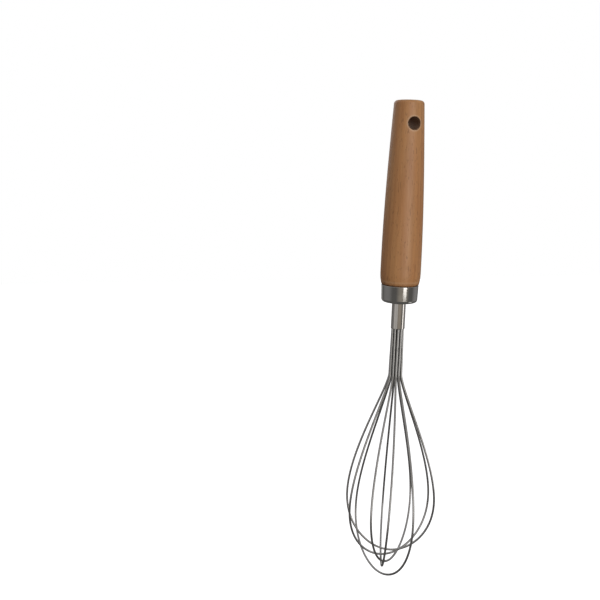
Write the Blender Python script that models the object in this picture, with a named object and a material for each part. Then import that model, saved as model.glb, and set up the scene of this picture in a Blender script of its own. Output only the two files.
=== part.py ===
"""Balloon whisk: a turned beech handle, a steel ferrule cup and neck tube, and five sprung wire loops.

Frame: metres, +Z up along the handle's axis, with the wires hanging towards -Z. The origin is the
centre of the hanging hole, which is drilled through the handle along Y.
"""

import math
from collections import namedtuple

import bmesh
import bpy
from mathutils import Matrix, Vector

MM = 0.001
SIDES = 40  # facets round each turned piece
WIRE_BEVEL = 2  # gives an eight-sided wire

# Handle: heights are measured from the hanging hole's centre.
HANDLE_TOP_Z = 13.5 * MM
HANDLE_END_Z = -96.3 * MM
HANDLE_BELLY_Z = -88.0 * MM
HANDLE_TOP_RADIUS = 8.9 * MM
HANDLE_BELLY_RADIUS = 12.3 * MM
HANDLE_END_RADIUS = 11.45 * MM  # the wood rounds in below its belly, to sit flush on the cup
TOP_ROUNDING = 2.2 * MM
END_ROUNDING = 0.9 * MM
HOLE_RADIUS = 3.85 * MM
HANDLE_STATIONS = 14  # rings along the swelling of the handle
HEEL_POWER = 2.5  # how late the easing below the belly comes
HEEL_STATIONS = 6  # rings from its belly to its lower end

# Ferrule cup: a drawn cup, slightly tapered, that sits flush under the handle's end and hides its tenon.
CUP_TOP_RADIUS = 11.4 * MM
CUP_LOW_RADIUS = 11.1 * MM
CUP_WALL = 0.5 * MM
CUP_TOP_Z = -96.6 * MM
CUP_BOTTOM_Z = -107.3 * MM
CUP_ROUNDING = 1.95 * MM

# Neck tube: runs through the cup's floor and up into the handle's socket.
TUBE_RADIUS = 4.3 * MM
TUBE_WALL = 0.25 * MM
TUBE_TOP_Z = -78.0 * MM
TUBE_BOTTOM_Z = -124.0 * MM
TUBE_CLEARANCE = 0.3 * MM

# Tenon and socket in the handle's lower end.
TENON_CLEARANCE = 0.4 * MM
TENON_END_Z = CUP_BOTTOM_Z + CUP_WALL + TENON_CLEARANCE
TENON_CHAMFER = 1.2 * MM
SOCKET_RADIUS = 4.75 * MM
SOCKET_TOP_Z = -66.0 * MM

# Wires: ten strands stand in a ring inside the tube and open into the balloon below it.
WIRE_RADIUS = 0.675 * MM
WIRE_TOP_Z = -73.0 * MM
TUBE_RING_RADIUS = 3.3 * MM
FLARE_RING_RADIUS = 3.75 * MM
FLARE_Z = -152.8 * MM
FLARE_PULL = 10.0 * MM  # how far the strand keeps straight on after the flare starts
BELLY_PULL = 0.346  # length of the curve's upper arm at the belly, as a share of flare to belly
BOTTOM_FULLNESS = 0.465  # width of the bottom's flat stretch, as a share of the half width
STRAND_RINGS = (6, 16, 14)  # path points along the neck, the flare to the belly, the belly to the bottom

# Core rod in the middle of the ring, and the cast plug that holds the wire ends.
CORE_RADIUS = 2.25 * MM
CORE_BOTTOM_Z = -155.5 * MM
PLUG_RADIUS = 4.45 * MM
PLUG_TOP_Z = SOCKET_TOP_Z - 0.3 * MM
PLUG_BOTTOM_Z = TUBE_TOP_Z + 0.4 * MM
POCKET_RADIUS = WIRE_RADIUS + 0.15 * MM
POCKET_TOP_Z = WIRE_TOP_Z + 0.3 * MM

# Each loop, in degrees and millimetres: its seat about Z in the tube (the ten ends are evenly spaced),
# the turn of its plane where it flares, and the twist it gains by the bottom; its half width at the
# belly; the heights of belly and bottom; how far the bottom swings in the loop's plane and out of it.
WireLoop = namedtuple("WireLoop", "seat turn twist half_width belly_z bottom_z sway lean")
LOOPS = {
    "wire_loop_1": WireLoop(-32, -35.0, 11.5, 28.0, -236.0, -272.0, 1.5, 0.5),
    "wire_loop_2": WireLoop(4, 13.0, -2.5, 30.5, -239.5, -275.5, 2.5, 0.5),
    "wire_loop_3": WireLoop(-68, -78.5, -0.5, 32.5, -248.5, -285.5, -2.0, -6.5),
    "wire_loop_4": WireLoop(40, 45.5, -1.5, 32.5, -239.0, -274.5, -3.0, -5.5),
    "wire_loop_5": WireLoop(-104, -107.0, -4.0, 31.0, -247.5, -276.5, 1.0, -3.5),
}

# Colour, metallic value and roughness of each material.
FINISHES = {
    "beech": ((0.42, 0.22, 0.10, 1.0), 0.0, 0.45),
    "polished_steel": ((0.58, 0.57, 0.55, 1.0), 1.0, 0.16),
    "brushed_steel": ((0.55, 0.53, 0.50, 1.0), 1.0, 0.28),
    "spring_wire": ((0.46, 0.45, 0.43, 1.0), 1.0, 0.25),
    "dark_rod": ((0.12, 0.12, 0.12, 1.0), 1.0, 0.45),
    "cast_resin": ((0.66, 0.60, 0.47, 1.0), 0.0, 0.35),
}


def clear_scene():
    for obj in list(bpy.data.objects):
        bpy.data.objects.remove(obj, do_unlink=True)


def finish(name):
    """The Principled material of that name, made on its first use."""
    if name in bpy.data.materials:
        return bpy.data.materials[name]
    colour, metallic, roughness = FINISHES[name]
    material = bpy.data.materials.new(name)
    material.use_nodes = True
    shader = material.node_tree.nodes["Principled BSDF"]
    shader.inputs["Base Color"].default_value = colour
    shader.inputs["Metallic"].default_value = metallic
    shader.inputs["Roughness"].default_value = roughness
    material.diffuse_color = colour
    return material


def place(name, data, material):
    obj = bpy.data.objects.new(name, data)
    data.materials.append(finish(material))
    bpy.context.scene.collection.objects.link(obj)
    return obj


def mesh_from(name, bm):
    """Closes off a bmesh as a smooth-shaded mesh with its faces pointing out."""
    bmesh.ops.recalc_face_normals(bm, faces=bm.faces)
    mesh = bpy.data.meshes.new(name)
    bm.to_mesh(mesh)
    bm.free()
    mesh.shade_smooth()
    mesh.set_sharp_from_angle(angle=math.radians(35))
    return mesh


def turned_mesh(name, outline, closed=False):
    """Spins an outline of (radius, height) points round Z. A closed outline makes a ring."""
    bm = bmesh.new()
    points = [bm.verts.new((radius, 0.0, height)) for radius, height in outline]
    pairs = list(zip(points, points[1:]))
    if closed:
        pairs.append((points[-1], points[0]))
    edges = [bm.edges.new(pair) for pair in pairs]
    bmesh.ops.spin(bm, geom=points + edges, axis=(0, 0, 1), cent=(0, 0, 0), angle=2 * math.pi, steps=SIDES)
    bmesh.ops.remove_doubles(bm, verts=bm.verts, dist=1e-6)
    return mesh_from(name, bm)


def arc(centre, radius, start, end, steps):
    """Points on an arc in the (radius, height) plane. Angles are in degrees from +R towards +Z."""
    angles = [math.radians(start + (end - start) * i / steps) for i in range(steps + 1)]
    return [(centre[0] + radius * math.cos(a), centre[1] + radius * math.sin(a)) for a in angles]


def handle_radius(z):
    """The handle swells from its top end to its belly, fastest at the top, then eases in to its lower end."""
    if z > HANDLE_BELLY_Z:
        drop = (HANDLE_TOP_Z - z) / (HANDLE_TOP_Z - HANDLE_BELLY_Z)
        return HANDLE_TOP_RADIUS + (HANDLE_BELLY_RADIUS - HANDLE_TOP_RADIUS) * math.sin(math.pi / 2 * drop)
    drop = (HANDLE_BELLY_Z - z) / (HANDLE_BELLY_Z - HANDLE_END_Z)
    return HANDLE_BELLY_RADIUS - (HANDLE_BELLY_RADIUS - HANDLE_END_RADIUS) * drop**HEEL_POWER


def spread(start, end, steps):
    """Evenly spaced heights between two heights, without the two themselves."""
    return [start + (end - start) * i / steps for i in range(1, steps)]


def handle_outline():
    shoulder_z = HANDLE_TOP_Z - TOP_ROUNDING
    shoulder = (handle_radius(shoulder_z) - TOP_ROUNDING, shoulder_z)
    heel_z = HANDLE_END_Z + END_ROUNDING
    heel = (handle_radius(heel_z) - END_ROUNDING, heel_z)
    tenon_radius = CUP_LOW_RADIUS - CUP_WALL - TENON_CLEARANCE
    swelling = spread(shoulder_z, HANDLE_BELLY_Z, HANDLE_STATIONS)
    easing = spread(HANDLE_BELLY_Z, heel_z, HEEL_STATIONS)
    return (
        [(0.0, HANDLE_TOP_Z)]
        + arc(shoulder, TOP_ROUNDING, 90, 0, 4)
        + [(handle_radius(z), z) for z in swelling + [HANDLE_BELLY_Z] + easing]
        + arc(heel, END_ROUNDING, 0, -90, 3)
        + [(tenon_radius, HANDLE_END_Z), (tenon_radius, TENON_END_Z + TENON_CHAMFER)]
        + [(tenon_radius - TENON_CHAMFER, TENON_END_Z), (SOCKET_RADIUS, TENON_END_Z)]
        + [(SOCKET_RADIUS, SOCKET_TOP_Z), (0.0, SOCKET_TOP_Z)]
    )


def cut(obj, cutter):
    """Takes the cutter's solid away from an object, and keeps the cutter as a hidden guide."""
    cutter.hide_render = True
    cutter.display_type = "WIRE"
    cutter.parent = obj
    boolean = obj.modifiers.new("cut", "BOOLEAN")
    boolean.operation = "DIFFERENCE"
    boolean.solver = "EXACT"
    boolean.object = cutter


def rod_cutter(name, rods):
    """A cutter of one or more rods, each given as (radius, length, matrix)."""
    bm = bmesh.new()
    for radius, length, matrix in rods:
        bmesh.ops.create_cone(
            bm, cap_ends=True, segments=16, radius1=radius, radius2=radius, depth=length, matrix=matrix
        )
    return place(name, mesh_from(name, bm), "beech")


def make_handle():
    handle = place("handle", turned_mesh("handle", handle_outline()), "beech")
    along_y = Matrix.Rotation(math.radians(90), 4, "X")
    cut(handle, rod_cutter("hanging_hole", [(HOLE_RADIUS, 4 * HANDLE_TOP_RADIUS, along_y)]))


def make_ferrule_cup():
    hole = TUBE_RADIUS + TUBE_CLEARANCE
    corner = (CUP_LOW_RADIUS - CUP_ROUNDING, CUP_BOTTOM_Z + CUP_ROUNDING)
    outline = (
        [(CUP_TOP_RADIUS, CUP_TOP_Z)]
        + arc(corner, CUP_ROUNDING, 0, -90, 5)
        + [(hole, CUP_BOTTOM_Z), (hole, CUP_BOTTOM_Z + CUP_WALL)]
        + arc(corner, CUP_ROUNDING - CUP_WALL, -90, 0, 5)
        + [(CUP_TOP_RADIUS - CUP_WALL, CUP_TOP_Z)]
    )
    place("ferrule_cup", turned_mesh("ferrule_cup", outline, closed=True), "polished_steel")


def make_neck_tube():
    bore = TUBE_RADIUS - TUBE_WALL
    outline = [
        (TUBE_RADIUS, TUBE_TOP_Z),
        (TUBE_RADIUS, TUBE_BOTTOM_Z),
        (bore, TUBE_BOTTOM_Z),
        (bore, TUBE_TOP_Z),
    ]
    place("neck_tube", turned_mesh("neck_tube", outline, closed=True), "brushed_steel")


def make_core_rod():
    tip = (0.0, CORE_BOTTOM_Z + CORE_RADIUS)
    outline = [(0.0, TUBE_TOP_Z), (CORE_RADIUS, TUBE_TOP_Z)] + arc(tip, CORE_RADIUS, 0, -90, 4)
    place("core_rod", turned_mesh("core_rod", outline), "dark_rod")


def make_resin_plug():
    """A short plug with a blind pocket round each of the ten wire ends."""
    side = [(PLUG_RADIUS, PLUG_TOP_Z), (PLUG_RADIUS, PLUG_BOTTOM_Z)]
    outline = [(0.0, PLUG_TOP_Z)] + side + [(0.0, PLUG_BOTTOM_Z)]
    plug = place("resin_plug", turned_mesh("resin_plug", outline), "cast_resin")
    overrun = 1.0 * MM
    depth = POCKET_TOP_Z - PLUG_BOTTOM_Z + overrun
    pockets = []
    for loop in LOOPS.values():
        for angle in (loop.seat, loop.seat + 180):
            turn = Matrix.Rotation(math.radians(angle), 4, "Z")
            shift = Matrix.Translation((TUBE_RING_RADIUS, 0.0, POCKET_TOP_Z - depth / 2))
            pockets.append((POCKET_RADIUS, depth, turn @ shift))
    cut(plug, rod_cutter("wire_pockets", pockets))


def cubic(a, b, c, d, t):
    """A point on the cubic curve with control values a, b, c, d."""
    s = 1 - t
    return s**3 * a + 3 * s * s * t * b + 3 * s * t * t * c + t**3 * d


def strand_outline(loop):
    """(radius, height) points of one strand, from its end in the handle down to the loop's bottom."""
    neck_steps, flare_steps, bottom_steps = STRAND_RINGS
    width, belly_z, bottom_z = (MM * length for length in (loop.half_width, loop.belly_z, loop.bottom_z))
    points = [(TUBE_RING_RADIUS, WIRE_TOP_Z)]
    for i in range(neck_steps):
        t = i / neck_steps
        ease = t * t * (3 - 2 * t)
        points.append((
            TUBE_RING_RADIUS + (FLARE_RING_RADIUS - TUBE_RING_RADIUS) * ease,
            TUBE_BOTTOM_Z + (FLARE_Z - TUBE_BOTTOM_Z) * t,
        ))
    upper_arm = BELLY_PULL * (FLARE_Z - belly_z)
    for i in range(flare_steps):
        t = i / flare_steps
        points.append((
            cubic(FLARE_RING_RADIUS, FLARE_RING_RADIUS, width, width, t),
            cubic(FLARE_Z, FLARE_Z - FLARE_PULL, belly_z + upper_arm, belly_z, t),
        ))
    # The lower arm's length gives the wire the same curvature above and below the belly.
    lower_arm = upper_arm * math.sqrt(width * (1 - BOTTOM_FULLNESS) / (width - FLARE_RING_RADIUS))
    for i in range(bottom_steps + 1):
        t = i / bottom_steps
        points.append((
            cubic(width, width, width * BOTTOM_FULLNESS, 0.0, t),
            cubic(belly_z, belly_z - lower_arm, bottom_z, bottom_z, t),
        ))
    return points


def loop_path(loop):
    """The wire's centre line, up one strand and down the other."""
    strand = strand_outline(loop)
    turn = math.radians(loop.turn)
    swing = MM * (Matrix.Rotation(turn, 3, "Z") @ Vector((loop.sway, loop.lean, 0.0)))
    path = []
    for side, points in ((-1, strand), (1, strand[-2::-1])):
        for radius, z in points:
            settled = min(1.0, max(0.0, (TUBE_BOTTOM_Z - z) / (TUBE_BOTTOM_Z - FLARE_Z)))
            drop = max(0.0, (FLARE_Z - z) / (FLARE_Z - MM * loop.bottom_z))
            degrees = loop.seat + (loop.turn - loop.seat) * settled + loop.twist * drop
            outward = Matrix.Rotation(math.radians(degrees), 3, "Z") @ Vector((side * radius, 0.0, 0.0))
            path.append(outward + swing * drop**2 + Vector((0.0, 0.0, z)))
    return path


def make_wire_loop(name, loop):
    """A wire swept along its path, as a bevelled curve with filled ends."""
    curve = bpy.data.curves.new(name, "CURVE")
    curve.dimensions = "3D"
    curve.bevel_depth = WIRE_RADIUS
    curve.bevel_resolution = WIRE_BEVEL
    curve.use_fill_caps = True
    path = loop_path(loop)
    spline = curve.splines.new("POLY")
    spline.points.add(len(path) - 1)
    for target, point in zip(spline.points, path):
        target.co = (*point, 1.0)
    spline.use_smooth = True
    place(name, curve, "spring_wire")


def main():
    clear_scene()
    make_handle()
    make_ferrule_cup()
    make_neck_tube()
    make_core_rod()
    make_resin_plug()
    for name, loop in LOOPS.items():
        make_wire_loop(name, loop)


main()
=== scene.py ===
"""Looks of the balloon whisk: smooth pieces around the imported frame, procedural materials, a plain studio.

Everything is in metres in the part's own frame: the handle's axis is Z, and the hanging hole's centre,
drilled along Y, is the origin.
"""

import math
from collections import namedtuple

import bmesh
import bpy
from mathutils import Matrix, Vector


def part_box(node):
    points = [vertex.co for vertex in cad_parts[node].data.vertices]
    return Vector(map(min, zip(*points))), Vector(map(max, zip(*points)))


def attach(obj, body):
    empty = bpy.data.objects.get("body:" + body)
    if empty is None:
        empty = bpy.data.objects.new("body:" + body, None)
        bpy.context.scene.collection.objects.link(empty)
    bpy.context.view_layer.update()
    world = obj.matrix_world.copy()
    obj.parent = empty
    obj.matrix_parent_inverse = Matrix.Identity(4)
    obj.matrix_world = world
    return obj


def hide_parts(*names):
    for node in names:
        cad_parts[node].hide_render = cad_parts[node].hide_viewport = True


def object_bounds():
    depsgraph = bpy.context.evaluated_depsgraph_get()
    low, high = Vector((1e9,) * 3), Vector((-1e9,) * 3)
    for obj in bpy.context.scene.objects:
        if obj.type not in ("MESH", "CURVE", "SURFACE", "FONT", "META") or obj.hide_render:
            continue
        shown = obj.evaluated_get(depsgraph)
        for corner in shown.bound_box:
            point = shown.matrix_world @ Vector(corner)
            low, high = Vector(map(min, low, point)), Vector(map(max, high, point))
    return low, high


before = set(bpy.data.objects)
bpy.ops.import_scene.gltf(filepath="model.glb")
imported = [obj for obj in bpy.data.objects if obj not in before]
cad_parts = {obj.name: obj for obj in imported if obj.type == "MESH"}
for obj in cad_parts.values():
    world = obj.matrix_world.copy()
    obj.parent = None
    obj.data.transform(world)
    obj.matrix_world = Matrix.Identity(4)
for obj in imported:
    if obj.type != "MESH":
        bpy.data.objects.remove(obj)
cad_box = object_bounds()
box = {name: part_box(name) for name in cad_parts}

MM = 0.001

# Mesh density.
TURNED_SIDES = 192  # facets round each turned piece, a multiple of 8
WIRE_SIDES = 20
STRAND_STEPS = (14, 40, 110, 100)  # rings inside the tube, down the neck, to the belly, to the bottom
MOUTH_RINGS = 14  # from the window's frame to the hole's rim
MOUTH_ROLL_STEPS = 8  # round the hole's broken edge
BORE_RINGS = 30
SHARP_DEGREES = 40  # an edge that turns by more than this is shaded sharp
POCKET_SIDES = 32

# Shapes that the frame's boxes don't give. The handle swells to its belly and eases in to its lower end.
HANDLE_TOP_RADIUS = 8.9 * MM
HANDLE_BELLY_Z = -88.0 * MM
HANDLE_END_Z = -96.3 * MM
HANDLE_END_RADIUS = 11.45 * MM
TOP_ROUNDING = 2.2 * MM
END_ROUNDING = 0.9 * MM
HEEL_POWER = 2.5  # how late the easing below the belly comes
TENON_RADIUS = 10.2 * MM
TENON_CHAMFER = 1.2 * MM
SOCKET_RADIUS = 4.75 * MM
SOCKET_TOP_Z = -66.0 * MM

HOLE_RADIUS = 3.85 * MM
HOLE_ROUNDING = 0.25 * MM
WINDOW_HEIGHT = 7.0 * MM  # half height of the patch of wall round each mouth of the hole
WINDOW_COLUMNS = TURNED_SIDES // 8  # half width of that patch, in facets
WINDOW_ROWS = 24  # half height of that patch, in rows
MOUTH_COLUMNS = {-1: 3 * TURNED_SIDES // 4, 1: TURNED_SIDES // 4}  # middle column of each mouth, by its side
HAIR = 1e-6  # slack when heights are compared

CUP_LOW_RADIUS = 11.1 * MM
CUP_WALL = 0.5 * MM
CUP_ROUNDING = 1.95 * MM
CUP_HOLE_RADIUS = 4.6 * MM
TUBE_WALL = 0.25 * MM
ROD_EDGE = 0.3 * MM
DOME_DEGREES = 86  # how far round the rod's domed end goes before its small flat tip
PLUG_EDGE = 0.35 * MM

# Wires.
WIRE_RADIUS = 0.675 * MM
WIRE_TOP_Z = -73.0 * MM
TUBE_RING_RADIUS = 3.3 * MM
FLARE_RING_RADIUS = 3.75 * MM
FLARE_Z = -152.8 * MM
FLARE_PULL = 10.0 * MM  # arm of the curve where a wire leaves the neck
BELLY_PULL = 0.346  # arm above the belly, as a share of the drop from the flare
BOTTOM_FULLNESS = 0.465  # arm along the bottom, as a share of the half width
POCKET_RADIUS = WIRE_RADIUS + 0.15 * MM
POCKET_TOP_Z = WIRE_TOP_Z + 0.3 * MM
POCKET_OVERRUN = 1.0 * MM  # how far a pocket's cutter runs out of the plug's lower face
WIRE_TIP_SHARE = 0.8  # width of a wire's chamfered end, as a share of the wire's

# Each loop, in degrees and millimetres: its seat about Z in the tube, the turn of its plane where it
# flares, the twist it gains by the bottom, its half width, the heights of belly and bottom, and how far
# the bottom swings in the loop's plane and out of it.
WireLoop = namedtuple("WireLoop", "seat turn twist half_width belly_z bottom_z sway lean")
LOOPS = {
    "wire_loop_1": WireLoop(-32, -35.0, 11.5, 28.0, -236.0, -272.0, 1.5, 0.5),
    "wire_loop_2": WireLoop(4, 13.0, -2.5, 30.5, -239.5, -275.5, 2.5, 0.5),
    "wire_loop_3": WireLoop(-68, -78.5, -0.5, 32.5, -248.5, -285.5, -2.0, -6.5),
    "wire_loop_4": WireLoop(40, 45.5, -1.5, 32.5, -239.0, -274.5, -3.0, -5.5),
    "wire_loop_5": WireLoop(-104, -107.0, -4.0, 31.0, -247.5, -276.5, 1.0, -3.5),
}

# Camera: azimuth 0 looks along +Y, and a positive one looks towards +X as well.
CAMERA_PLACE = Vector((-0.1919, -0.4351, -0.0249))
CAMERA_AZIMUTH = 16.41
CAMERA_TILT = 10.0
CAMERA_ROLL = 1.67
CAMERA_LENS_MM = 46.5
CAMERA_SENSOR_MM = 36.0

# Beech tones, as linear colours.
BEECH_RED = (0.41, 0.175, 0.060, 1.0)
BEECH_TAN = (0.47, 0.228, 0.086, 1.0)
BEECH_DARK = (0.31, 0.135, 0.046, 1.0)
BEECH_PALE = (0.55, 0.29, 0.120, 1.0)
# The fleck tone also darkens the joint with the cup as painted shade.
BEECH_FLECK_AND_SHADE = (0.19, 0.080, 0.028, 1.0)
BEECH_SANDED = (0.60, 0.40, 0.235, 1.0)
# The bore tone is painted shade for the inside of the hanging hole.
BEECH_BORE_SHADE = (0.25, 0.145, 0.085, 1.0)

# Tones of the metals and the resin, each clean tone followed by what marks it.
CUP_STEEL = (0.60, 0.585, 0.555, 1.0)
CUP_SMUDGE = (0.54, 0.52, 0.49, 1.0)
TUBE_STEEL = (0.64, 0.605, 0.565, 1.0)
TUBE_SMUDGE = (0.56, 0.525, 0.48, 1.0)
WIRE_STEEL = (0.50, 0.49, 0.475, 1.0)
WIRE_DULL = (0.43, 0.42, 0.405, 1.0)
ROD_DARK = (0.10, 0.098, 0.095, 1.0)
ROD_WORN = (0.17, 0.16, 0.15, 1.0)
RESIN_AMBER = (0.62, 0.55, 0.40, 1.0)
RESIN_CLOUD = (0.72, 0.66, 0.54, 1.0)
RESIN_SPECK = (0.35, 0.27, 0.16, 1.0)

# Studio. The floor lies below the lowest wire.
FLOOR_DROP = 0.75
FLOOR_SIZE = 12.0
FLOOR_TONE = (0.85, 0.85, 0.85, 1.0)
FLOOR_GLOW = 0.8
WHITE = (1.0, 1.0, 1.0, 1.0)

# Each light's azimuth is the side it stands on: 0 is -Y and 90 is +X. It stands upright at its distance from
# the whisk's axis and faces it, between two heights. Its power is its brightness times its width, its height
# and pi.
StudioLight = namedtuple("StudioLight", "azimuth distance z_low z_high width brightness shape")
LIGHTS = {
    "key_softbox": StudioLight(1, 0.90, 0.00, 0.75, 0.55, 2.6, "RECTANGLE"),
    "key_oval": StudioLight(9.5, 0.50, -0.227, 0.02, 0.26, 2.6, "ELLIPSE"),
    "cup_strip": StudioLight(10.4, 0.50, -0.2155, -0.10, 0.18, 2.3, "RECTANGLE"),
    "neck_strip": StudioLight(12, 0.50, -0.34, -0.17, 0.80, 0.75, "RECTANGLE"),
    "left_strip": StudioLight(-64, 0.70, -0.42, -0.17, 0.82, 0.37, "RECTANGLE"),
    "right_strip": StudioLight(61, 0.70, -0.42, -0.17, 0.20, 1.8, "RECTANGLE"),
    "low_panel": StudioLight(64, 0.70, -0.80, -0.44, 0.34, 0.75, "RECTANGLE"),
    "back_softbox": StudioLight(200, 1.00, 0.00, 0.70, 0.70, 1.3, "RECTANGLE"),
    "back_strip": StudioLight(156, 0.70, -0.42, -0.17, 0.20, 1.8, "RECTANGLE"),
    "back_panel": StudioLight(184, 0.70, -0.46, -0.17, 0.45, 0.22, "RECTANGLE"),
}
# Flags keep each of these lights off the pieces listed, so that each metal mirrors only the strips it should.
WIRES = tuple("spring_" + name for name in LOOPS)
FLAGGED = {
    "key_softbox": WIRES + ("steel_cup",),
    "key_oval": WIRES + ("steel_tube", "steel_cup"),
    "cup_strip": WIRES + ("steel_tube", "beech_handle"),
    "neck_strip": ("steel_tube", "steel_cup", "beech_handle"),
    "left_strip": ("steel_cup", "beech_handle"),
    "right_strip": ("steel_cup", "beech_handle"),
    "low_panel": WIRES + ("steel_tube", "beech_handle"),
    "back_softbox": WIRES + ("steel_cup",),
    "back_panel": ("beech_handle",),
}
# The room: its radiance low down and overhead, and soft glows given by azimuth, reach and added radiance.
# ROOM_RISE and GLOW_FADE say, as sines of elevations, where the low room turns into the high one and where
# the glows set in.
ROOM_LOW = (0.125, 0.123, 0.121, 1.0)
ROOM_HIGH = (0.45, 0.45, 0.46, 1.0)
ROOM_RISE = (-0.1, 0.5)
GLOW_FADE = (-0.38, -0.25)
RoomGlow = namedtuple("RoomGlow", "azimuth reach radiance")
ROOM_GLOWS = (
    RoomGlow(-2, 46, (0.235, 0.205, 0.166, 1.0)),
    RoomGlow(-108, 45, (0.11, 0.11, 0.115, 1.0)),
    RoomGlow(97, 38, (0.16, 0.16, 0.17, 1.0)),
)


# ---- Mesh building ----


def arc(centre, radius, start, end, steps):
    """Points on an arc in the (radius, height) plane. Angles are in degrees from +R towards +Z."""
    angles = [math.radians(start + (end - start) * i / steps) for i in range(steps + 1)]
    return [(centre[0] + radius * math.cos(a), centre[1] + radius * math.sin(a)) for a in angles]


def spread(start, end, steps):
    """Evenly spaced values between two values, without the two themselves."""
    return [start + (end - start) * i / steps for i in range(1, steps)]


def spread_pair(start, end, steps):
    """Evenly spaced (radius, height) points between two points, without the two themselves."""
    return list(zip(spread(start[0], end[0], steps), spread(start[1], end[1], steps)))


def ring(bm, radius, z):
    """A level circle of vertices round the axis, starting at +X."""
    angles = [2 * math.pi * i / TURNED_SIDES for i in range(TURNED_SIDES)]
    return [bm.verts.new((radius * math.cos(a), radius * math.sin(a), z)) for a in angles]


def skin(bm, upper, lower, skipped=()):
    """Quads between two rings of the same count, leaving out the facets in skipped."""
    count = len(upper)
    for i in range(count):
        if i not in skipped:
            j = (i + 1) % count
            bm.faces.new((upper[i], lower[i], lower[j], upper[j]))


def fan(bm, points, z):
    """Closes a ring with triangles to a point on the axis."""
    centre = bm.verts.new((0.0, 0.0, z))
    for i, point in enumerate(points):
        bm.faces.new((centre, point, points[(i + 1) % len(points)]))


def mesh_object(name, bm):
    """An object from a finished bmesh, shaded smooth apart from its sharp edges."""
    bmesh.ops.recalc_face_normals(bm, faces=bm.faces)
    mesh = bpy.data.meshes.new(name)
    bm.to_mesh(mesh)
    bm.free()
    shade(mesh)
    obj = bpy.data.objects.new(name, mesh)
    bpy.context.scene.collection.objects.link(obj)
    return obj


def shade(mesh):
    """Smooth shading with sharp edges."""
    mesh.shade_smooth()
    mesh.set_sharp_from_angle(angle=math.radians(SHARP_DEGREES))


def turned(name, outline, closed=False):
    """A turned piece from (radius, height) points: a ring if closed, else capped on the axis."""
    bm = bmesh.new()
    rings = [ring(bm, radius, z) for radius, z in outline]
    for upper, lower in zip(rings, rings[1:]):
        skin(bm, upper, lower)
    if closed:
        skin(bm, rings[-1], rings[0])
    else:
        fan(bm, rings[0], outline[0][1])
        fan(bm, rings[-1], outline[-1][1])
    return mesh_object(name, bm)


def fit_in(piece, material, slot, *nodes):
    """Gives a piece its material and its place in the frame."""
    piece.data.materials.clear()
    piece.data.materials.append(material)
    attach(piece, "root")
    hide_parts(*nodes)


# ---- Handle ----


def handle_radius(z):
    """Radius of the handle's outer wall at a height."""
    top_z, belly_radius = box["handle"][1].z, box["handle"][1].x
    if z > HANDLE_BELLY_Z:
        drop = (top_z - z) / (top_z - HANDLE_BELLY_Z)
        return HANDLE_TOP_RADIUS + (belly_radius - HANDLE_TOP_RADIUS) * math.sin(math.pi / 2 * drop)
    drop = (HANDLE_BELLY_Z - z) / (HANDLE_BELLY_Z - HANDLE_END_Z)
    return belly_radius - (belly_radius - HANDLE_END_RADIUS) * drop**HEEL_POWER


def handle_rows():
    """(radius, height) of every ring of the handle, from its top face round to the roof of its socket."""
    top_z, tenon_z = box["handle"][1].z, box["handle"][0].z
    shoulder_z = top_z - TOP_ROUNDING
    shoulder = (handle_radius(shoulder_z) - TOP_ROUNDING, shoulder_z)
    heel_z = HANDLE_END_Z + END_ROUNDING
    heel = (handle_radius(heel_z) - END_ROUNDING, heel_z)
    window = [-WINDOW_HEIGHT * i / WINDOW_ROWS for i in range(-WINDOW_ROWS, WINDOW_ROWS + 1)]
    wall = (
        spread(shoulder_z, WINDOW_HEIGHT, steps=10)
        + window
        + spread(-WINDOW_HEIGHT, HANDLE_BELLY_Z, steps=70)
        + [HANDLE_BELLY_Z]
        + spread(HANDLE_BELLY_Z, heel_z, steps=20)
    )
    top_face = [(shoulder[0] * share, top_z) for share in (0.12, 0.3, 0.5, 0.7, 0.88)]
    tenon = [
        (TENON_RADIUS, HANDLE_END_Z),
        (TENON_RADIUS, tenon_z + TENON_CHAMFER),
        (TENON_RADIUS - TENON_CHAMFER, tenon_z),
        (SOCKET_RADIUS, tenon_z),
        (SOCKET_RADIUS, SOCKET_TOP_Z),
    ]
    return (
        top_face
        + arc(shoulder, TOP_ROUNDING, 90, 0, steps=12)
        + [(handle_radius(z), z) for z in wall]
        + arc(heel, END_ROUNDING, 0, -90, steps=6)
        + tenon
    )


def mouth(bm, rings, side):
    """Closes the wall round one mouth of the hanging hole, and returns the innermost ring of its rounding.

    The patch starts as a window in the wall's grid, turns into a circle, and rolls over into the bore.
    side is -1 for the mouth at -Y and 1 for the one at +Y.
    """
    middle = MOUTH_COLUMNS[side]
    columns = range(middle - WINDOW_COLUMNS, middle + WINDOW_COLUMNS + 1)
    top, bottom = rings[0], rings[-1]
    loop = [top[c] for c in columns]
    loop += [row[columns[-1]] for row in rings[1:-1]]
    loop += [bottom[c] for c in reversed(columns)]
    loop += [row[columns[0]] for row in reversed(rings[1:-1])]
    starts = [(vert.co.x, vert.co.z) for vert in loop]
    turns = [math.atan2(z, x) for x, z in starts]

    def on_wall(x, z, depth=0.0):
        return (x, side * (math.sqrt(handle_radius(z) ** 2 - x * x) - depth), z)

    def next_ring(points):
        verts = [bm.verts.new(point) for point in points]
        skin(bm, loop, verts)
        return verts

    rim = HOLE_RADIUS + HOLE_ROUNDING
    for share in spread(0.0, 1.0, MOUTH_RINGS) + [1.0]:
        loop = next_ring([
            on_wall(x + (rim * math.cos(a) - x) * share, z + (rim * math.sin(a) - z) * share)
            for (x, z), a in zip(starts, turns)
        ])
    for step in range(1, MOUTH_ROLL_STEPS + 1):
        roll = math.radians(90 * step / MOUTH_ROLL_STEPS)
        radius = rim - HOLE_ROUNDING * math.sin(roll)
        depth = HOLE_ROUNDING * (1 - math.cos(roll))
        loop = next_ring([on_wall(radius * math.cos(a), radius * math.sin(a), depth) for a in turns])
    return loop


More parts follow.
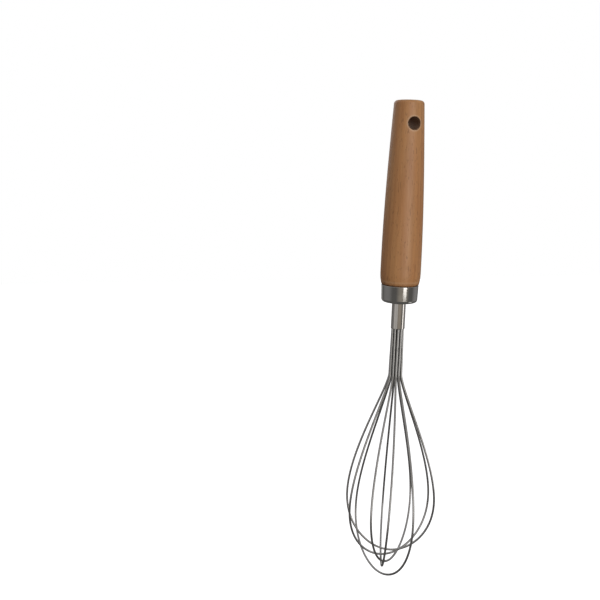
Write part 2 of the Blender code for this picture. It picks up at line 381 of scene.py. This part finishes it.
def bore(bm, front, back):
    """The hole's wall between the two mouths, whose vertices are matched up by their turn round the hole."""

    def turn(vert):
        return round(math.atan2(vert.co.z, vert.co.x), 5)

    partners = {turn(vert): vert for vert in back}
    far = [partners[turn(vert)] for vert in front]
    rings = [front]
    for share in spread(0.0, 1.0, BORE_RINGS):
        rings.append([bm.verts.new(a.co.lerp(b.co, share)) for a, b in zip(front, far)])
    rings.append(far)
    for near, next_one in zip(rings, rings[1:]):
        skin(bm, near, next_one)


def make_handle(material):
    """The turned handle, drilled through near its top, with a tenon and a socket below."""
    bm = bmesh.new()
    rows = handle_rows()
    rings = [ring(bm, radius, z) for radius, z in rows]
    in_window = [i for i, (_, z) in enumerate(rows) if abs(z) < WINDOW_HEIGHT + HAIR]
    open_facets = {
        middle + i
        for middle in MOUTH_COLUMNS.values()
        for i in range(-WINDOW_COLUMNS, WINDOW_COLUMNS)
    }
    for i, (upper, lower) in enumerate(zip(rings, rings[1:])):
        inside = i in in_window and i + 1 in in_window
        skin(bm, upper, lower, open_facets if inside else ())
    fan(bm, rings[0], rows[0][1])
    fan(bm, rings[-1], rows[-1][1])
    window_rings = [rings[i] for i in in_window]
    front, back = (mouth(bm, window_rings, side) for side in (-1, 1))
    bore(bm, front, back)
    # The wall's own vertices inside the two windows belong to no face now.
    loose = [vert for vert in bm.verts if not vert.link_faces]
    bmesh.ops.delete(bm, geom=loose, context="VERTS")
    fit_in(mesh_object("beech_handle", bm), material, "beech", "handle")


# ---- Ferrule cup, neck tube, core rod and resin plug ----


def make_cup(material):
    """The drawn cup: a rolled lip, a wall that narrows downwards, a rounded corner and a holed floor."""
    low, high = box["ferrule_cup"]
    corner = (CUP_LOW_RADIUS - CUP_ROUNDING, low.z + CUP_ROUNDING)
    lip = CUP_WALL / 2
    outline = (
        arc((high.x - lip, high.z - lip), lip, 180, 0, steps=12)
        + spread_pair((high.x, high.z - lip), (CUP_LOW_RADIUS, corner[1]), steps=16)
        + arc(corner, CUP_ROUNDING, 0, -90, steps=24)
        + spread_pair((corner[0], low.z), (CUP_HOLE_RADIUS + lip, low.z), steps=5)
        + arc((CUP_HOLE_RADIUS + lip, low.z + lip), lip, -90, -270, steps=10)
        + arc(corner, CUP_ROUNDING - CUP_WALL, -90, 0, steps=12)
    )
    fit_in(turned("steel_cup", outline, closed=True), material, "polished_steel", "ferrule_cup")


def make_tube(material):
    """The thin-walled tube, with rounded ends."""
    low, high = box["neck_tube"]
    radius, lip = high.x, TUBE_WALL / 2
    middle = radius - lip
    outline = (
        arc((middle, high.z - lip), lip, 180, 0, steps=8)
        + spread_pair((radius, high.z), (radius, low.z), steps=60)
        + arc((middle, low.z + lip), lip, 0, -180, steps=8)
        + spread_pair((radius - TUBE_WALL, low.z), (radius - TUBE_WALL, high.z), steps=30)
    )
    fit_in(turned("steel_tube", outline, closed=True), material, "brushed_steel", "neck_tube")


def make_core_rod(material):
    """The solid rod between the wires, with a domed lower end."""
    low, high = box["core_rod"]
    radius = high.x
    outline = (
        arc((radius - ROD_EDGE, high.z - ROD_EDGE), ROD_EDGE, 90, 0, steps=6)
        + spread_pair((radius, high.z), (radius, low.z + radius), steps=40)
        + arc((0.0, low.z + radius), radius, 0, -DOME_DEGREES, steps=24)
    )
    fit_in(turned("dark_core_rod", outline), material, "dark_rod", "core_rod")


def make_plug(material):
    """The cast plug, with a blind pocket round each of the ten wire ends."""
    low, high = box["resin_plug"]
    radius = high.x
    outline = (
        arc((radius - PLUG_EDGE, high.z - PLUG_EDGE), PLUG_EDGE, 90, 0, steps=6)
        + spread_pair((radius, high.z), (radius, low.z), steps=12)
        + arc((radius - PLUG_EDGE, low.z + PLUG_EDGE), PLUG_EDGE, 0, -90, steps=6)
    )
    plug = turned("resin_plug_cast", outline)
    bm = bmesh.new()
    depth = POCKET_TOP_Z - low.z + POCKET_OVERRUN
    for loop in LOOPS.values():
        for angle in (loop.seat, loop.seat + 180):
            turn = Matrix.Rotation(math.radians(angle), 4, "Z")
            shift = Matrix.Translation((TUBE_RING_RADIUS, 0.0, POCKET_TOP_Z - depth / 2))
            bmesh.ops.create_cone(
                bm,
                cap_ends=True,
                segments=POCKET_SIDES,
                radius1=POCKET_RADIUS,
                radius2=POCKET_RADIUS,
                depth=depth,
                matrix=turn @ shift,
            )
    cutter = mesh_object("pockets", bm)
    boolean = plug.modifiers.new("pockets", "BOOLEAN")
    boolean.operation = "DIFFERENCE"
    boolean.solver = "EXACT"
    boolean.object = cutter
    with bpy.context.temp_override(object=plug):
        bpy.ops.object.modifier_apply(modifier="pockets")
    bpy.data.objects.remove(cutter, do_unlink=True)
    shade(plug.data)
    fit_in(plug, material, "cast_resin", "resin_plug")


# ---- Wire loops ----


def cubic(a, b, c, d, t):
    """A point on the cubic curve with control values a, b, c, d."""
    s = 1 - t
    return s**3 * a + 3 * s * s * t * b + 3 * s * t * t * c + t**3 * d


def strand_outline(loop):
    """(radius, height) points of one strand, from its end in the handle down to the loop's bottom."""
    seat_steps, neck_steps, flare_steps, bottom_steps = STRAND_STEPS
    tube_end_z = box["neck_tube"][0].z
    width, belly_z, bottom_z = (MM * length for length in (loop.half_width, loop.belly_z, loop.bottom_z))
    points = [
        (TUBE_RING_RADIUS, WIRE_TOP_Z + (tube_end_z - WIRE_TOP_Z) * i / seat_steps) for i in range(seat_steps)
    ]
    for i in range(neck_steps):
        t = i / neck_steps
        ease = t * t * (3 - 2 * t)
        radius = TUBE_RING_RADIUS + (FLARE_RING_RADIUS - TUBE_RING_RADIUS) * ease
        points.append((radius, tube_end_z + (FLARE_Z - tube_end_z) * t))
    upper_arm = BELLY_PULL * (FLARE_Z - belly_z)
    for i in range(flare_steps):
        t = i / flare_steps
        radius = cubic(FLARE_RING_RADIUS, FLARE_RING_RADIUS, width, width, t)
        points.append((radius, cubic(FLARE_Z, FLARE_Z - FLARE_PULL, belly_z + upper_arm, belly_z, t)))
    # The lower arm's length gives the wire the same curvature above and below the belly.
    lower_arm = upper_arm * math.sqrt(width * (1 - BOTTOM_FULLNESS) / (width - FLARE_RING_RADIUS))
    for i in range(bottom_steps + 1):
        t = i / bottom_steps
        radius = cubic(width, width, width * BOTTOM_FULLNESS, 0.0, t)
        points.append((radius, cubic(belly_z, belly_z - lower_arm, bottom_z, bottom_z, t)))
    return points


def loop_path(loop):
    """The wire's centre line, up one strand and down the other."""
    strand = strand_outline(loop)
    tube_end_z = box["neck_tube"][0].z
    turn = math.radians(loop.turn)
    swing = MM * (Matrix.Rotation(turn, 3, "Z") @ Vector((loop.sway, loop.lean, 0.0)))
    path = []
    for side, points in ((-1, strand), (1, strand[-2::-1])):
        for radius, z in points:
            settled = min(1.0, max(0.0, (tube_end_z - z) / (tube_end_z - FLARE_Z)))
            drop = max(0.0, (FLARE_Z - z) / (FLARE_Z - MM * loop.bottom_z))
            degrees = loop.seat + (loop.turn - loop.seat) * settled + loop.twist * drop
            outward = Matrix.Rotation(math.radians(degrees), 3, "Z") @ Vector((side * radius, 0.0, 0.0))
            path.append(outward + swing * drop**2 + Vector((0.0, 0.0, z)))
    return path


def swept(name, path, radius):
    """A round wire along a path, with chamfered ends and its own coordinates stored for the material."""
    bm = bmesh.new()
    tangents = [
        (path[min(i + 1, len(path) - 1)] - path[max(i - 1, 0)]).normalized() for i in range(len(path))
    ]
    # The first ring's normal is carried along the wire without twisting.
    normal = tangents[0].orthogonal().normalized()
    rings, along, lengths = [], 0.0, []
    angles = [2 * math.pi * i / WIRE_SIDES for i in range(WIRE_SIDES)]
    for i, (point, tangent) in enumerate(zip(path, tangents)):
        if i:
            along += (point - path[i - 1]).length
            normal = tangents[i - 1].rotation_difference(tangent) @ normal
            normal = (normal - tangent * normal.dot(tangent)).normalized()
        side = tangent.cross(normal)
        size = radius * WIRE_TIP_SHARE if i in (0, len(path) - 1) else radius
        rings.append([
            bm.verts.new(point + size * (math.cos(a) * normal + math.sin(a) * side)) for a in angles
        ])
        lengths.append(along)
    for near, far in zip(rings, rings[1:]):
        skin(bm, near, far)
    bm.faces.new(rings[0])
    bm.faces.new(rings[-1])
    piece = mesh_object(name, bm)
    store_wire_coordinates(piece.data, lengths)
    return piece


def store_wire_coordinates(mesh, lengths):
    """Each vertex gets the cosine and sine of its turn round the wire, and its distance along it."""
    attribute = mesh.attributes.new("wire_place", "FLOAT_VECTOR", "POINT")
    values = []
    for length in lengths:
        for i in range(WIRE_SIDES):
            a = 2 * math.pi * i / WIRE_SIDES
            values += [math.cos(a), math.sin(a), length]
    attribute.data.foreach_set("vector", values)


def make_wires(material):
    """Five bent wires, each a piece of its own."""
    for name, loop in LOOPS.items():
        fit_in(swept("spring_" + name, loop_path(loop), WIRE_RADIUS), material, "spring_wire", name)


# ---- Materials ----


MIX_SHARE, MIX_A, MIX_B, MIX_RESULT = 0, 6, 7, 2  # sockets of a Mix node that mixes colours


class Nodes:
    """Short calls for the nodes that the materials and the world use."""

    def __init__(self, tree):
        self.tree = tree

    def feed(self, socket, value):
        """Links an output to a socket, or sets the socket to a plain value."""
        if isinstance(value, bpy.types.NodeSocket):
            self.tree.links.new(value, socket)
        else:
            socket.default_value = value

    def node(self, kind, inputs=None, **settings):
        made = self.tree.nodes.new("ShaderNode" + kind)
        for key, value in settings.items():
            setattr(made, key, value)
        for key, value in (inputs or {}).items():
            self.feed(made.inputs[key], value)
        return made

    def calc(self, operation, a, b):
        return self.node("Math", {0: a, 1: b}, operation=operation).outputs[0]

    def between(self, value, low, high, to_low=0.0, to_high=1.0, how="SMOOTHSTEP"):
        """Maps the range from low to high onto the range from to_low to to_high."""
        inputs = {
            "Value": value,
            "From Min": low,
            "From Max": high,
            "To Min": to_low,
            "To Max": to_high,
        }
        return self.node("MapRange", inputs, interpolation_type=how).outputs[0]

    def mix(self, share, a, b, how="MIX"):
        """A colour between a and b, the more like b the larger the share, or a with a share of b added."""
        inputs = {MIX_SHARE: share, MIX_A: a, MIX_B: b}
        return self.node("Mix", inputs, data_type="RGBA", blend_type=how).outputs[MIX_RESULT]

    def split(self, vector):
        return self.node("SeparateXYZ", {0: vector}).outputs

    def join(self, x, y, z):
        return self.node("CombineXYZ", {0: x, 1: y, 2: z}).outputs[0]


class Recipe(Nodes):
    """A material under construction.

    Patterns are in the object's metres, so a noise scale of 1000 has features about a millimetre wide.
    """

    def __init__(self, name, metallic, roughness):
        self.material = bpy.data.materials.new(name)
        self.material.use_nodes = True
        super().__init__(self.material.node_tree)
        self.shader = self.tree.nodes["Principled BSDF"]
        self.shader.inputs["Metallic"].default_value = metallic
        self.shader.inputs["Roughness"].default_value = roughness

    def object_place(self):
        return self.node("TexCoord").outputs["Object"]

    def stretched(self, place, scale, shift=(0.0, 0.0, 0.0)):
        return self.node("Mapping", {"Vector": place, "Scale": scale, "Location": shift}).outputs[0]

    def noise(self, place, scale=1.0, detail=3.0, roughness=0.5, distortion=0.0):
        inputs = {
            "Vector": place,
            "Scale": scale,
            "Detail": detail,
            "Roughness": roughness,
            "Distortion": distortion,
        }
        return self.node("TexNoise", inputs).outputs["Fac"]

    def bump(self, height, distance, strength, base=None):
        inputs = {"Height": height, "Distance": distance, "Strength": strength}
        if base is not None:
            inputs["Normal"] = base
        return self.node("Bump", inputs).outputs[0]

    def use(self, colour, roughness, normal):
        """The finished material."""
        for socket, value in (("Base Color", colour), ("Roughness", roughness), ("Normal", normal)):
            self.feed(self.shader.inputs[socket], value)
        return self.material


def beech():
    """Oiled beech, sanded at its edges, with painted shade and dirt at its joint with the cup, and rougher
    and darkened by painted shade inside the hanging hole.
    """
    recipe = Recipe("oiled_beech", metallic=0.0, roughness=0.45)
    place = recipe.object_place()
    broad = recipe.noise(recipe.stretched(place, (90.0, 90.0, 14.0)), detail=2.0)
    colour, fibres, flecks = beech_grain(recipe, place, broad)
    colour, bore_shade_and_roughness = beech_wear_and_shade(recipe, place, broad, colour)
    roughness = recipe.calc("MAXIMUM", recipe.between(fibres, 0.3, 0.7, 0.42, 0.56), bore_shade_and_roughness)
    normal = recipe.bump(fibres, 0.03 * MM, 0.5)
    normal = recipe.bump(flecks, -0.04 * MM, 0.6, normal)
    return recipe.use(colour, roughness, normal)


def beech_grain(recipe, place, broad):
    """The wood's own colour, from growth layers, streaks, long fibres and short dark flecks."""
    layers = recipe.node(
        "TexWave",
        {
            "Vector": recipe.stretched(place, (1.0, 1.0, 0.16), (0.011, 0.034, 0.0)),
            "Scale": 120.0,
            "Distortion": 5.0,
            "Detail": 3.0,
            "Detail Scale": 0.6,
        },
        wave_type="RINGS",
        rings_direction="Z",
        wave_profile="SIN",
    ).outputs["Fac"]
    streaks = recipe.noise(recipe.stretched(place, (700.0, 700.0, 22.0)), detail=4.0, roughness=0.6)
    fibres = recipe.noise(recipe.stretched(place, (3600.0, 3600.0, 140.0)), detail=3.0, roughness=0.65)
    fleck_field = recipe.noise(recipe.stretched(place, (1500.0, 1500.0, 300.0)), detail=1.0)
    flecks = recipe.between(fleck_field, 0.63, 0.70)

    colour = recipe.mix(recipe.between(broad, 0.32, 0.68), BEECH_RED, BEECH_TAN)
    colour = recipe.mix(recipe.between(layers, 0.15, 0.95, 0.0, 0.30), colour, BEECH_DARK)
    colour = recipe.mix(recipe.between(streaks, 0.35, 0.70, 0.0, 0.28), colour, BEECH_PALE)
    colour = recipe.mix(recipe.between(fibres, 0.40, 0.75, 0.0, 0.22), colour, BEECH_DARK)
    colour = recipe.mix(recipe.calc("MULTIPLY", flecks, 0.5), colour, BEECH_FLECK_AND_SHADE)
    return colour, fibres, flecks


def beech_wear_and_shade(recipe, place, broad, colour):
    """The colour with its sanded places, painted shade and dirt at the joint with the cup, and painted shade
    inside the hole; also a field that is high inside the hole.
    """
    x, _, z = recipe.split(place)
    ragged = recipe.calc("MULTIPLY", recipe.calc("SUBTRACT", broad, 0.5), 0.9 * MM)
    square = recipe.calc("ADD", recipe.calc("POWER", x, 2.0), recipe.calc("POWER", z, 2.0))
    from_hole = recipe.calc("ADD", recipe.calc("SQRT", square, 0.0), ragged)

    # Paler wood where the drill and the sandpaper broke the surface: round the hole, the top and the foot.
    rim = recipe.calc(
        "MULTIPLY",
        recipe.between(from_hole, HOLE_RADIUS + 0.3 * MM, HOLE_RADIUS + 1.45 * MM, 0.55, 0.0),
        recipe.between(from_hole, HOLE_RADIUS + 0.05 * MM, HOLE_RADIUS + 0.3 * MM),
    )
    top_z = box["handle"][1].z
    top_edge = recipe.between(z, top_z - 1.2 * MM, top_z + 0.4 * MM, 0.0, 0.35)
    foot_edge = recipe.calc(
        "MULTIPLY",
        recipe.between(z, HANDLE_END_Z + 2.4 * MM, HANDLE_END_Z + 3.2 * MM, 0.22, 0.0),
        recipe.between(z, HANDLE_END_Z + 1.3 * MM, HANDLE_END_Z + 2.0 * MM),
    )
    worn = recipe.calc("MAXIMUM", rim, recipe.calc("MAXIMUM", top_edge, foot_edge))
    colour = recipe.mix(worn, colour, BEECH_SANDED)

    # Painted shade, with some oil and dirt, darkens the wood at the joint with the cup.
    ragged_z = recipe.calc("ADD", z, ragged)
    joint_shade_and_dirt = recipe.between(ragged_z, HANDLE_END_Z + 0.3 * MM, HANDLE_END_Z + 1.9 * MM, 0.55, 0.0)
    colour = recipe.mix(joint_shade_and_dirt, colour, BEECH_FLECK_AND_SHADE)

    # Inside the hole the wood is rougher, and its colour is darkened as painted shade.
    bore_shade_and_roughness = recipe.between(from_hole, HOLE_RADIUS + 0.1 * MM, HOLE_RADIUS + 0.45 * MM, 0.85, 0.0)
    return recipe.mix(bore_shade_and_roughness, colour, BEECH_BORE_SHADE), bore_shade_and_roughness


def smudged(recipe, place, clean, smudge, low, high):
    """Metal colour and roughness with soft handling marks."""
    spots = recipe.stretched(place, (130.0, 130.0, 90.0))
    marks = recipe.noise(spots, detail=4.0, roughness=0.6, distortion=0.6)
    colour = recipe.mix(recipe.between(marks, 0.35, 0.75), clean, smudge)
    return colour, recipe.between(marks, 0.3, 0.8, low, high)


def polished_steel():
    """The drawn cup: bright, with faint lines round it from polishing and fine scratches."""
    recipe = Recipe("polished_steel", metallic=1.0, roughness=0.12)
    place = recipe.object_place()
    colour, roughness = smudged(recipe, place, CUP_STEEL, CUP_SMUDGE, 0.07, 0.15)
    lines = recipe.noise(recipe.stretched(place, (60.0, 60.0, 9000.0)), detail=2.0)
    scratches = recipe.noise(recipe.stretched(place, (2600.0, 900.0, 1800.0)), detail=5.0, roughness=0.7)
    normal = recipe.bump(lines, 0.0006 * MM, 0.5)
    normal = recipe.bump(scratches, 0.0006 * MM, 0.4, normal)
    return recipe.use(colour, roughness, normal)


def brushed_steel():
    """The neck tube: drawn lengthwise, duller than the cup."""
    recipe = Recipe("drawn_steel", metallic=1.0, roughness=0.25)
    place = recipe.object_place()
    x, y, z = recipe.split(place)
    colour, roughness = smudged(recipe, place, TUBE_STEEL, TUBE_SMUDGE, 0.09, 0.15)
    round_tube = recipe.calc("MULTIPLY", recipe.calc("ARCTAN2", y, x), 28.0)
    down_tube = recipe.calc("MULTIPLY", z, 60.0)
    unrolled = recipe.join(round_tube, down_tube, 0.0)
    lines = recipe.noise(unrolled, detail=4.0, roughness=0.7)
    return recipe.use(colour, roughness, recipe.bump(lines, 0.001 * MM, 0.4))


def spring_steel():
    """Drawn spring wire: fine lines along it and small changes of tone."""
    recipe = Recipe("spring_steel", metallic=1.0, roughness=0.22)
    wire_place = recipe.node("Attribute", attribute_name="wire_place").outputs["Vector"]
    lines = recipe.noise(recipe.stretched(wire_place, (5.0, 5.0, 30.0)), detail=2.0)
    marks = recipe.noise(recipe.object_place(), 160.0, detail=3.0)
    colour = recipe.mix(recipe.between(marks, 0.35, 0.7), WIRE_STEEL, WIRE_DULL)
    roughness = recipe.between(lines, 0.3, 0.7, 0.2, 0.3)
    return recipe.use(colour, roughness, recipe.bump(lines, 0.0006 * MM, 0.3))


def dark_rod():
    """The core rod: dull, darkened steel with a grainy surface."""
    recipe = Recipe("dark_rod", metallic=1.0, roughness=0.5)
    grain = recipe.noise(recipe.object_place(), 2200.0, detail=5.0, roughness=0.7)
    colour = recipe.mix(recipe.between(grain, 0.35, 0.7), ROD_DARK, ROD_WORN)
    return recipe.use(colour, recipe.between(grain, 0.3, 0.7, 0.42, 0.6), recipe.bump(grain, 0.02 * MM, 0.5))


def cast_resin():
    """The cast plug: cloudy amber resin with specks."""
    recipe = Recipe("cast_resin", metallic=0.0, roughness=0.32)
    place = recipe.object_place()
    cloud = recipe.noise(place, 260.0, detail=3.0)
    specks = recipe.between(recipe.noise(place, 2400.0, detail=1.0), 0.66, 0.72)
    colour = recipe.mix(recipe.between(cloud, 0.3, 0.7), RESIN_AMBER, RESIN_CLOUD)
    colour = recipe.mix(recipe.calc("MULTIPLY", specks, 0.6), colour, RESIN_SPECK)
    return recipe.use(colour, recipe.between(cloud, 0.3, 0.7, 0.26, 0.4), recipe.bump(cloud, 0.03 * MM, 0.4))


# ---- Studio ----


def make_floor():
    """A plain pale floor that glows enough to read as white."""
    bm = bmesh.new()
    bmesh.ops.create_grid(bm, x_segments=1, y_segments=1, size=FLOOR_SIZE / 2)
    floor = mesh_object("floor", bm)
    floor.location.z = cad_box[0].z - FLOOR_DROP
    recipe = Recipe("pale_floor", metallic=0.0, roughness=0.8)
    recipe.shader.inputs["Base Color"].default_value = FLOOR_TONE
    recipe.shader.inputs["Emission Color"].default_value = WHITE
    recipe.shader.inputs["Emission Strength"].default_value = FLOOR_GLOW
    floor.data.materials.append(recipe.material)
    # The whisk mirrors the dim room and not the floor, as under a studio's flags.
    floor.visible_glossy = False
    floor.visible_diffuse = False


def side_of(azimuth):
    """Unit vector from the whisk's axis towards an azimuth."""
    a = math.radians(azimuth)
    return Vector((math.sin(a), -math.cos(a), 0.0))


def make_lights():
    """Upright area lights. A flagged one is linked to the pieces that it may light."""
    pieces = [piece for piece in bpy.context.scene.collection.objects if piece.type == "MESH"]
    for name, light in LIGHTS.items():
        data = bpy.data.lights.new(name, "AREA")
        data.shape = light.shape
        data.size = light.width
        data.size_y = light.z_high - light.z_low
        data.energy = light.brightness * math.pi * data.size * data.size_y
        lamp = bpy.data.objects.new(name, data)
        lamp.location = side_of(light.azimuth) * light.distance
        lamp.location.z = (light.z_low + light.z_high) / 2
        lamp.rotation_euler = (math.radians(90), 0.0, math.radians(light.azimuth))
        lamp.visible_camera = False
        bpy.context.scene.collection.objects.link(lamp)
        if name in FLAGGED:
            lit = bpy.data.collections.new("lit_by_" + name)
            for piece in pieces:
                if piece.name not in FLAGGED[name]:
                    lit.objects.link(piece)
            lamp.light_linking.receiver_collection = lit


def make_world():
    """White behind the object. For light and reflections, a dim room with soft glows, lighter overhead."""
    world = bpy.data.worlds.new("studio")
    world.use_nodes = True
    world.node_tree.nodes.clear()
    studio = Nodes(world.node_tree)
    direction = studio.node("TexCoord").outputs["Generated"]
    height = studio.split(direction)["Z"]
    room = studio.mix(studio.between(height, *ROOM_RISE), ROOM_LOW, ROOM_HIGH)
    fade = studio.between(height, *GLOW_FADE, how="LINEAR")
    for glow in ROOM_GLOWS:
        facing = studio.node("VectorMath", {0: direction, 1: side_of(glow.azimuth)}, operation="DOT_PRODUCT")
        edge = math.cos(math.radians(glow.reach))
        share = studio.between(facing.outputs["Value"], edge, 1.0)
        room = studio.mix(studio.calc("MULTIPLY", share, fade), room, glow.radiance, how="ADD")
    backdrop = studio.node("Background", {"Color": WHITE}).outputs[0]
    lit = studio.node("Background", {"Color": room}).outputs[0]
    camera_ray = studio.node("LightPath").outputs["Is Camera Ray"]
    shown = studio.node("MixShader", {0: camera_ray, 1: lit, 2: backdrop}).outputs[0]
    studio.node("OutputWorld", {"Surface": shown})
    bpy.context.scene.world = world


def make_camera():
    """A camera from its place, azimuth, downward tilt and roll."""
    azimuth, tilt, roll = (math.radians(a) for a in (CAMERA_AZIMUTH, CAMERA_TILT, CAMERA_ROLL))
    level = Vector((math.sin(azimuth), math.cos(azimuth), 0.0))
    forward = level * math.cos(tilt) - Vector((0.0, 0.0, math.sin(tilt)))
    right = Vector((math.cos(azimuth), -math.sin(azimuth), 0.0))
    up = right.cross(forward)
    rolled_right = right * math.cos(roll) + up * math.sin(roll)
    rolled_up = up * math.cos(roll) - right * math.sin(roll)
    data = bpy.data.cameras.new("camera")
    data.lens = CAMERA_LENS_MM
    data.sensor_width = CAMERA_SENSOR_MM
    data.clip_start = 0.01
    data.clip_end = 50.0
    camera = bpy.data.objects.new("camera", data)
    axes = Matrix((rolled_right, rolled_up, -forward)).transposed().to_4x4()
    camera.matrix_world = Matrix.Translation(CAMERA_PLACE) @ axes
    bpy.context.scene.collection.objects.link(camera)
    bpy.context.scene.camera = camera


make_handle(beech())
make_cup(polished_steel())
make_tube(brushed_steel())
make_core_rod(dark_rod())
make_plug(cast_resin())
make_wires(spring_steel())
make_floor()
make_lights()
make_world()
make_camera()
bpy.context.scene.view_settings.view_transform = "Standard"
